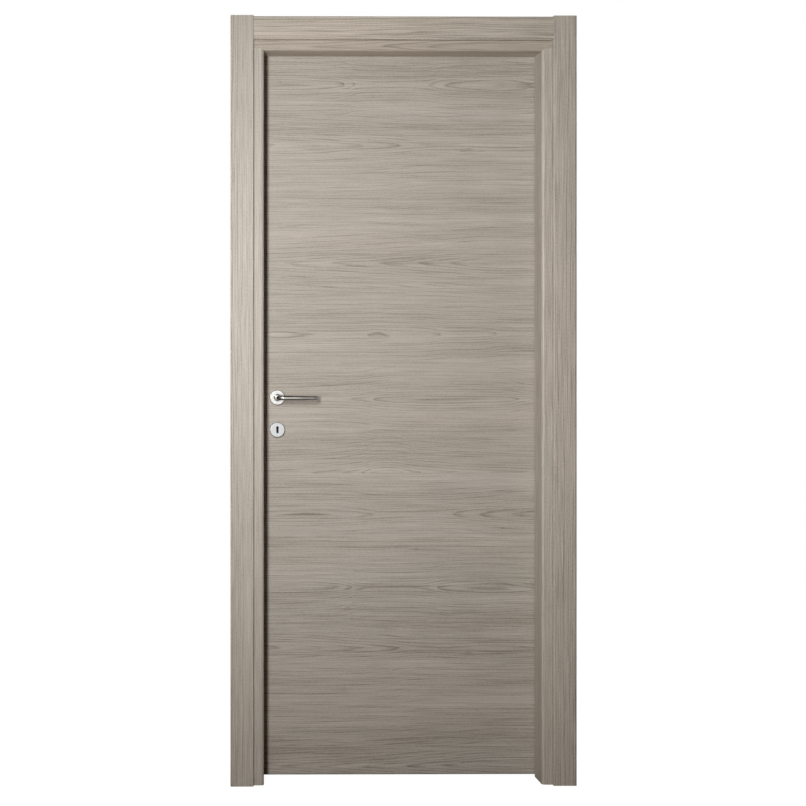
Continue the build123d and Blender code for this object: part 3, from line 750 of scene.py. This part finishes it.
class DOOR_OT_dress_frame(bpy.types.Operator):
    """Gives the jambs and casings their laminate, upright at the sides and level at the head"""

    bl_idname = "door.dress_frame"
    bl_label = "Dress Frame"

    def execute(self, context):
        upright = partial(plain_figure, heart=0.62, drift=5.0)
        level = partial(plain_figure, heart=HEAD_TOP + 0.06, drift=9.0)
        tipped = partial(tipped_figure, heart=HEAD_TOP + 0.017, fall=5.6)
        # Painted light and shade: the four copies of one laminate are made lighter or darker part by part,
        # for how each part is lit
        finishes = {
            "casing": laminate(
                "casing_laminate", "upright", upright, 1.36, 17.0, sway=(2.2, 0.012),
                painted_light_tint=(1.075, 1.065, 1.055), gloss=0.38, weights=PLAIN_GRAIN, reveal_shade_tone=(0.98, 0.98, 0.97)),
            "jamb": laminate(
                "jamb_laminate", "upright", upright, 1.20, 23.0, sway=(2.2, 0.012),
                painted_light_tint=(1.055, 1.055, 1.045), gloss=0.47, weights=PLAIN_GRAIN),
            "head_casing": laminate(
                "head_casing_laminate", "level", level, 1.55, 29.0, sway=(3.4, 0.020),
                painted_light_tint=(1.11, 1.09, 1.065), gloss=0.35),
            "head_jamb": laminate(
                "head_jamb_laminate", "level", tipped, 1.10, 35.0, sway=(3.4, 0.012),
                painted_light_tint=(0.975, 0.938, 0.898), gloss=0.40),
        }
        for name in NODES:
            if "casing" in name or "jamb" in name:
                kind = "casing" if "casing" in name else "jamb"
                dress((name,), finishes[f"head_{kind}" if "head" in name else kind])
        return {"FINISHED"}


class DOOR_OT_dress_seals(bpy.types.Operator):
    """Gives the seals in the stops their rubber"""

    bl_idname = "door.dress_seals"
    bl_label = "Dress Seals"

    def execute(self, context):
        brown = rubber("seal_rubber_brown", context.scene.door_fittings.seal)
        dress(("hinge_seal", "lock_seal", "head_seal"), brown)
        return {"FINISHED"}


class DOOR_OT_dress_hinges(bpy.types.Operator):
    """Gives the barrel hinges their satin metal"""

    bl_idname = "door.dress_hinges"
    bl_label = "Dress Hinges"

    def execute(self, context):
        satin = metal("hinge_satin", context.scene.door_fittings.hinge, 0.30, (90, 90, 1600), 5.0)
        dress([name for name in NODES if "_hinge_frame_half" in name or "_hinge_leaf_half" in name], satin)
        return {"FINISHED"}


class DOOR_OT_dress_lock(bpy.types.Operator):
    """Gives the lock, its bolts, the strike and the spindle their metals"""

    bl_idname = "door.dress_lock"
    bl_label = "Dress Lock"

    def execute(self, context):
        fittings = context.scene.door_fittings
        plate = metal("lock_plate_satin", fittings.lock, 0.32, (1500, 1500, 60), 7.0)
        dress(("lock_faceplate", "strike_plate", "latch_bolt", "dead_bolt"), plate)
        dress(("lock_case", "handle_spindle"), painted("lock_case_dark", fittings.case))
        return {"FINISHED"}


class DOOR_OT_dress_handles(bpy.types.Operator):
    """Gives the levers and rosettes their metals"""

    bl_idname = "door.dress_handles"
    bl_label = "Dress Handles"

    def execute(self, context):
        fittings = context.scene.door_fittings
        low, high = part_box("push_handle_rosette")
        satin = lever_metal("lever_satin", fittings.lever, 0.18, (low.x + high.x) / 2, 3.0)
        dress(("push_lever", "pull_lever"), satin)
        for label, colour in (("handle", fittings.rosette), ("key", fittings.key_rosette)):
            low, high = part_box(f"push_{label}_rosette")
            bright = rosette_metal(f"{label}_rosette_bright", colour, 0.24, (low + high) / 2, 2.0)
            dress((f"push_{label}_rosette", f"pull_{label}_rosette"), bright)
        return {"FINISHED"}


class DOOR_OT_add_keyhole_curtain(bpy.types.Operator):
    """Adds a dark plate in the lock case that closes the view through the keyhole, as painted shade for the
    dark inside the lock
    """

    bl_idname = "door.add_keyhole_curtain"
    bl_label = "Add Keyhole Curtain"

    def execute(self, context):
        low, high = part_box("push_key_rosette")
        case_low, case_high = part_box("lock_case")
        centre = Vector(((low.x + high.x) / 2, (case_low.y + case_high.y) / 2, (low.z + high.z) / 2))
        shape = bmesh.new()
        bmesh.ops.create_cube(shape, size=1.0)
        bmesh.ops.scale(shape, verts=shape.verts, vec=CURTAIN_SIZE)
        corners = [e for e in shape.edges if abs(e.verts[0].co.y - e.verts[1].co.y) > CURTAIN_SIZE[1] / 2]
        bmesh.ops.bevel(
            shape, geom=corners, offset=CURTAIN_ROUNDING, affect="EDGES", segments=5, profile=0.5,
            material=-1)
        bmesh.ops.translate(shape, verts=shape.verts, vec=centre)
        # Painted shade: a near black, barely glossy sheet that stands in for the dark inside the lock seen
        # through the keyhole
        colour = [part * CURTAIN_SHADE_TONE for part in context.scene.door_fittings.case]
        dark = painted("keyhole_curtain_dark", colour, gloss=0.05)
        new_piece("keyhole_shade_curtain", shape, dark, "leaf")
        return {"FINISHED"}


class DOOR_OT_add_plate_screws(bpy.types.Operator):
    """Adds the screws that hold the lock faceplate and the strike plate"""

    bl_idname = "door.add_plate_screws"
    bl_label = "Add Plate Screws"

    def execute(self, context):
        fittings = context.scene.door_fittings
        zinc = metal("screw_zinc", fittings.lock, 0.28, (900, 900, 900), 9.0)
        plates = (
            ("faceplate", "lock_faceplate", "leaf", -1),
            ("strike", "strike_plate", "frame", 1),
        )
        for label, node, body, outward in plates:
            low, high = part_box(node)
            x = low.x if outward < 0 else high.x
            for end, z in (("low", low.z + SCREW_INSET), ("top", high.z - SCREW_INSET)):
                centre = Vector((x, (low.y + high.y) / 2, z))
                head = screw_head(centre, (outward, 0, 0), fittings.screw_radius, SCREW_RISE)
                new_piece(f"{label}_{end}_screw", head, zinc, body)
        return {"FINISHED"}


class DOOR_OT_add_grub_screws(bpy.types.Operator):
    """Adds the set screw under each lever's neck"""

    bl_idname = "door.add_grub_screws"
    bl_label = "Add Grub Screws"

    def execute(self, context):
        radius = context.scene.door_fittings.grub_radius
        dark = painted("grub_screw_dark", context.scene.door_fittings.case)
        low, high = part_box("push_handle_rosette")
        faces = (("push", low.y, -1), ("pull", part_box("pull_handle_rosette")[1].y, 1))
        for label, face_y, out in faces:
            centre = Vector(((low.x + high.x) / 2, face_y + out * GRUB_OUT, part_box("push_lever")[0].z))
            screw = grub_screw(centre, (0, 0, -1), radius, GRUB_RISE)
            new_piece(f"{label}_grub_screw", screw, dark, "handle")
        return {"FINISHED"}


class DOOR_OT_add_joint_beads(bpy.types.Operator):
    """Adds thin dark beads where the casings meet the jambs, as painted shade for the narrow gaps there"""

    bl_idname = "door.add_joint_beads"
    bl_label = "Add Joint Beads"

    def execute(self, context):
        radius = context.scene.door_fittings.bead_radius
        # Painted shade: the dark beads stand in for the shade in the narrow gaps where the casings meet the
        # jambs, thinner on the hinge side
        gap_shade_finish = rubber("joint_gap_shade", context.scene.door_fittings.seal)
        for face, wall in (("push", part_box("head_jamb")[0].y), ("pull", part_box("head_jamb_rebate")[1].y)):
            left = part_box(f"{face}_lock_casing")[1].x
            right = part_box(f"{face}_hinge_casing")[0].x
            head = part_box(f"{face}_head_casing")[0].z
            runs = {
                "lock": ((left, wall, 0.0), (left, wall, head)),
                "hinge": ((right, wall, 0.0), (right, wall, head)),
                "head": ((left, wall, head), (right, wall, head)),
            }
            for label, (start, end) in runs.items():
                bead = gap_shade_bead(start, end, radius * HINGE_BEAD_SHARE if label == "hinge" else radius)
                new_piece(f"{face}_{label}_gap_shade_bead", bead, gap_shade_finish, "frame")
        return {"FINISHED"}


def add_camera(stage):
    """Stands the camera in its place, level, with its lens shifted."""
    lens = bpy.data.cameras.new("door_camera")
    lens.sensor_width = 36.0
    lens.lens = stage.camera_lens
    lens.shift_x, lens.shift_y = stage.camera_shift
    camera = bpy.data.objects.new("door_camera", lens)
    camera.location = stage.camera_place
    camera.rotation_euler = (math.radians(90), 0, -stage.camera_turn)
    bpy.context.scene.collection.objects.link(camera)
    bpy.context.scene.camera = camera


def soft_lamp(name, power, size, place, target):
    """A soft lamp that points at a target and isn't seen by the camera itself."""
    lamp = bpy.data.lights.new(name, "AREA")
    lamp.energy = power
    lamp.shape = "RECTANGLE"
    lamp.size, lamp.size_y = size
    made = bpy.data.objects.new(name, lamp)
    made.location = place
    made.rotation_euler = (target - place).to_track_quat("-Z", "Y").to_euler()
    made.visible_camera = False
    bpy.context.scene.collection.objects.link(made)


def viewing_rays(shade):
    """Which rays come from the camera, and which come by way of a mirror or glass."""
    rays = shade.node("ShaderNodeLightPath").outputs
    return rays["Is Camera Ray"], shade.math("MAXIMUM", rays["Is Glossy Ray"], rays["Is Transmission Ray"])


def add_surround(fill):
    """A surround that is white to the camera, dims upward and sideways in metal, and is a faint warm fill."""
    world = bpy.data.worlds.new("white_surround")
    world.use_nodes = True
    bpy.context.scene.world = world
    world.node_tree.nodes.clear()
    shade = Shading(world.node_tree)
    direct, mirrored = viewing_rays(shade)
    heading = shade.axes(shade.node("ShaderNodeTexCoord").outputs["Generated"])
    level = shade.span(shade.math("ABSOLUTE", heading["Z"]), 0.10, 0.55, low=1.0, high=0.04)
    ahead = shade.span(shade.math("ABSOLUTE", heading["X"]), 0.40, 0.80, low=1.0, high=0.22)
    room = shade.math("MULTIPLY", level, ahead)
    unseen = shade.span(mirrored, 0.0, 1.0, low=fill, high=room, eased=False)
    strength = shade.math("MAXIMUM", direct, unseen)
    shown = shade.math("MAXIMUM", direct, mirrored)
    hue = shade.mix(shown, (1.0, 0.80, 0.54, 1.0), (1.0, 1.0, 1.0, 1.0))
    glow = shade.node("ShaderNodeBackground", {"Color": hue, "Strength": strength})
    shade.node("ShaderNodeOutputWorld", {"Surface": glow.outputs[0]})


def floor_finish():
    """A matt floor that looks white to the camera and in far reflections, and throws little light back."""
    made, shade, shader = new_material("pale_floor")
    direct, mirrored = viewing_rays(shade)
    spot = shade.node("ShaderNodeTexCoord").outputs["Object"]
    fleck = shade.noise(shade.stretched(spot, (4, 4, 4)), 3.0)
    colour = shade.ramp(fleck, ((0.0, (0.105, 0.085, 0.055)), (1.0, (0.120, 0.097, 0.064))))
    middle = shade.node("ShaderNodeVectorMath", {0: spot, 1: (DOOR_MIDDLE, 0.0, 0.0)}, operation="SUBTRACT")
    away = shade.length(middle.outputs[0])
    seen = shade.span(away, 0.8, 2.4, low=0.98, high=1.0)
    reflected = shade.span(away, 1.5, 5.0, low=0.05, high=1.0)
    glowing = shade.add(shade.math("MULTIPLY", direct, seen), shade.math("MULTIPLY", mirrored, reflected))
    shade.give(shader.inputs["Base Color"], colour)
    shade.give(shader.inputs["Emission Strength"], glowing)
    shader.inputs["Emission Color"].default_value = (1, 1, 1, 1)
    shader.inputs["Roughness"].default_value = 0.9
    shader.inputs["Specular IOR Level"].default_value = 0.0
    return made


class DOOR_OT_set_stage(bpy.types.Operator):
    """Sets the camera, the three soft lamps, the white surround and the floor"""

    bl_idname = "door.set_stage"
    bl_label = "Set Stage"

    def execute(self, context):
        scene = context.scene
        stage = scene.door_stage
        add_camera(stage)
        middle = Vector((DOOR_MIDDLE, 0.0, 1.0))
        square = (stage.soft_size, stage.soft_size)
        target = Vector(stage.key_target)
        soft_lamp("key_lamp", stage.key_power, stage.key_size, Vector(stage.key_place), target)
        soft_lamp("back_lamp", stage.back_power, square, Vector(stage.back_place), middle)
        soft_lamp("side_lamp", stage.side_power, square, Vector(stage.side_place), middle)
        add_surround(stage.fill)

        shape = bmesh.new()
        bmesh.ops.create_grid(shape, x_segments=8, y_segments=8, size=30.0)
        mesh = bpy.data.meshes.new("floor")
        shape.to_mesh(mesh)
        shape.free()
        mesh.materials.append(floor_finish())
        floor = bpy.data.objects.new("floor", mesh)
        scene.collection.objects.link(floor)
        scene.view_settings.view_transform = "Standard"
        return {"FINISHED"}


STEPS = (
    DOOR_OT_dress_leaf,
    DOOR_OT_dress_frame,
    DOOR_OT_dress_seals,
    DOOR_OT_dress_hinges,
    DOOR_OT_dress_lock,
    DOOR_OT_dress_handles,
    DOOR_OT_add_keyhole_curtain,
    DOOR_OT_add_plate_screws,
    DOOR_OT_add_grub_screws,
    DOOR_OT_add_joint_beads,
    DOOR_OT_set_stage,
)


class DOOR_PT_dressing(bpy.types.Panel):
    """Lists the steps that dress the door"""

    bl_idname = "DOOR_PT_dressing"
    bl_label = "Door Dressing"
    bl_space_type = "VIEW_3D"
    bl_region_type = "UI"
    bl_category = "Door"

    def draw(self, context):
        column = self.layout.column()
        for step in STEPS:
            column.operator(step.bl_idname)


SETTINGS = {
    "door_laminate": LaminateSettings,
    "door_fittings": FittingSettings,
    "door_stage": StageSettings,
}


def register():
    """Adds the settings, the steps and the panel."""
    for name, group in SETTINGS.items():
        bpy.utils.register_class(group)
        setattr(bpy.types.Scene, name, PointerProperty(type=group))
    for step in STEPS:
        bpy.utils.register_class(step)
    bpy.utils.register_class(DOOR_PT_dressing)


def unregister():
    """Takes away the panel, the steps and the settings."""
    bpy.utils.unregister_class(DOOR_PT_dressing)
    for step in reversed(STEPS):
        bpy.utils.unregister_class(step)
    for name, group in reversed(SETTINGS.items()):
        delattr(bpy.types.Scene, name)
        bpy.utils.unregister_class(group)


def main():
    """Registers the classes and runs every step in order."""
    register()
    bpy.ops.door.dress_leaf()
    bpy.ops.door.dress_frame()
    bpy.ops.door.dress_seals()
    bpy.ops.door.dress_hinges()
    bpy.ops.door.dress_lock()
    bpy.ops.door.dress_handles()
    bpy.ops.door.add_keyhole_curtain()
    bpy.ops.door.add_plate_screws()
    bpy.ops.door.add_grub_screws()
    bpy.ops.door.add_joint_beads()
    bpy.ops.door.set_stage()


if __name__ == "__main__":
    main()
